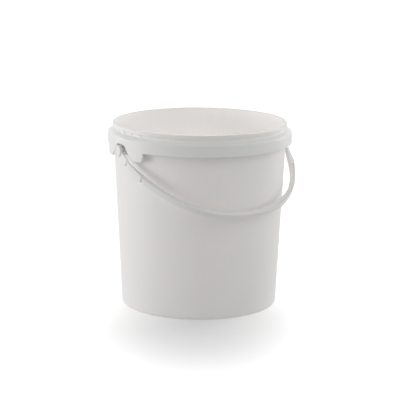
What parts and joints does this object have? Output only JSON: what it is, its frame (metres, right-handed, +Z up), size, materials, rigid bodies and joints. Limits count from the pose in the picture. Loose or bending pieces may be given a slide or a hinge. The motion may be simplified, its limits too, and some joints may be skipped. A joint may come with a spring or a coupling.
{
  "type": "florist bucket",
  "caption": "Round, slightly tapered plastic pail with a lip, a hanging skirt and a moulded bail handle that swings in side ears; holds cut stems in water.",
  "frame": {"origin": "on the pail's axis, in the plane that it stands on", "axes": "+Z up along the pail's axis; X along the line that the bail turns about; the bail rests hanging towards -Y"},
  "size_m": [0.28, 0.27, 0.2704],
  "materials": {
    "pail_plastic": "smooth white polypropylene, soft gloss",
    "handle_plastic": "smooth white polypropylene, soft gloss"
  },
  "bodies": {
    "pail": {"pail": "pail_plastic"},
    "bail": {"bail_handle": "handle_plastic"}
  },
  "joints": [
    {"name": "bail_swing", "type": "hinge", "parent": "pail", "child": "bail", "pos_m": [0, 0, 0.2383], "axis": [-1, 0, 0], "range_deg": [0, 246]}
  ]
}
